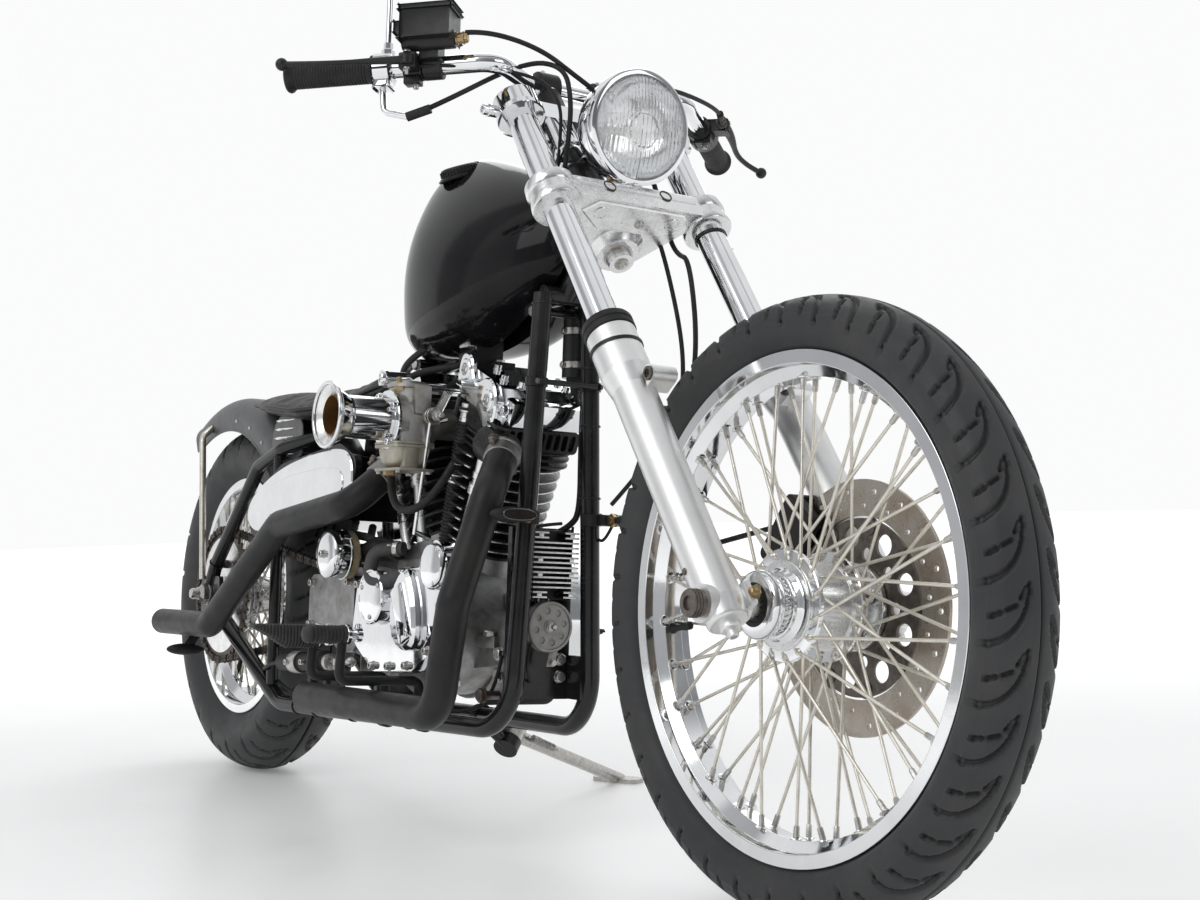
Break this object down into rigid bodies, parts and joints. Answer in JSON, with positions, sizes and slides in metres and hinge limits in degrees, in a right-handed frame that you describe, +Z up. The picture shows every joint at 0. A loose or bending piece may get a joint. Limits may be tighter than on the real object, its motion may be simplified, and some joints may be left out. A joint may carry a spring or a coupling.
{
  "type": "chopper motorcycle",
  "caption": "Rigid-frame V-twin chopper with a long raked fork, a peanut-style tank and a low seat, leaning on its side stand.",
  "frame": {"origin": "middle of the bounding box's foot, on the road", "axes": "+X forwards along the machine, +Y to the rider's left, +Z up; the machine leans to +Y on its stand"},
  "size_m": [2.2249, 0.8022, 1.3214],
  "materials": {
    "gloss_black": "deep gloss black paint over steel",
    "satin_black": "satin black heat-proof coating",
    "fender_grey": "dark grey satin paint",
    "engine_black": "black coated cast alloy",
    "chrome": "polished chrome plate",
    "polished_alloy": "satin polished alloy",
    "cast_alloy": "bead-blasted cast alloy",
    "zinc_alloy": "die-cast zinc, matt and stained",
    "steel": "plain turned steel",
    "spoke_steel": "aged zinc-plated spokes",
    "disc_steel": "ground steel with brown wear bands",
    "chain_steel": "oiled chain with rust",
    "tyre": "black tread rubber",
    "rubber": "matt black rubber",
    "leather": "black grained cover with welt",
    "lens": "clear fluted glass",
    "black_plastic": "matt black moulding"
  },
  "bodies": {
    "chassis": {"frame_right": "gloss_black", "frame_left": "gloss_black", "frame_spine": "gloss_black", "engine_mounts": "gloss_black", "rear_axle": "steel", "crankcase": "cast_alloy", "cam_cover": "chrome", "sprocket_cover": "polished_alloy", "primary_cover": "chrome", "cylinders": "engine_black", "heads": "engine_black", "rocker_boxes": "chrome", "pushrod_tubes": "polished_alloy", "carburettor": "zinc_alloy", "velocity_stack": "chrome", "exhaust_front": "satin_black", "exhaust_rear": "satin_black", "oil_tank": "gloss_black", "fuel_tank": "gloss_black", "tank_cap": "satin_black", "seat": "leather", "rear_fender": "fender_grey", "fender_strut": "satin_black", "breather": "chrome", "regulator": "satin_black", "horn": "zinc_alloy", "ignition_coil": "black_plastic", "foot_pegs": "rubber", "brake_pedal": "rubber", "signals": "satin_black", "rear_brake": "satin_black", "drive_chain": "chain_steel"},
    "fork": {"lower_clamp": "polished_alloy", "top_clamp": "chrome", "fork_tubes": "chrome", "fork_sliders": "polished_alloy", "fork_seals": "rubber", "headlamp": "chrome", "headlamp_lens": "lens", "handlebar": "chrome", "grips": "rubber", "hand_controls": "satin_black", "mirror": "chrome", "front_axle": "steel", "front_caliper": "satin_black", "cables": "rubber"},
    "front_wheel": {"front_tyre": "tyre", "front_rim": "chrome", "front_spokes": "spoke_steel", "front_hub": "polished_alloy", "front_disc": "disc_steel"},
    "rear_wheel": {"rear_tyre": "tyre", "rear_rim": "chrome", "rear_spokes": "spoke_steel", "rear_hub": "polished_alloy"},
    "side_stand": {"side_stand": "steel"}
  },
  "joints": [
    {"name": "steering", "type": "hinge", "parent": "chassis", "child": "fork", "pos_m": [0.30306, -0.01197, 0.87302], "axis": [-0.5976, 0.0615, 0.7994], "range_deg": [-30, 30]},
    {"name": "front_wheel_spin", "type": "hinge", "parent": "fork", "child": "front_wheel", "pos_m": [0.7655, -0.05251, 0.3462], "axis": [0, 0.9971, -0.0767], "continuous": true},
    {"name": "rear_wheel_spin", "type": "hinge", "parent": "chassis", "child": "rear_wheel", "pos_m": [-0.7945, -0.05473, 0.31729], "axis": [0, 0.9971, -0.0767], "continuous": true},
    {"name": "side_stand_fold", "type": "hinge", "parent": "chassis", "child": "side_stand", "pos_m": [-0.0595, 0.04236, 0.11926], "axis": [-0.4058, 0.6593, 0.633], "range_deg": [0, 71]}
  ]
}
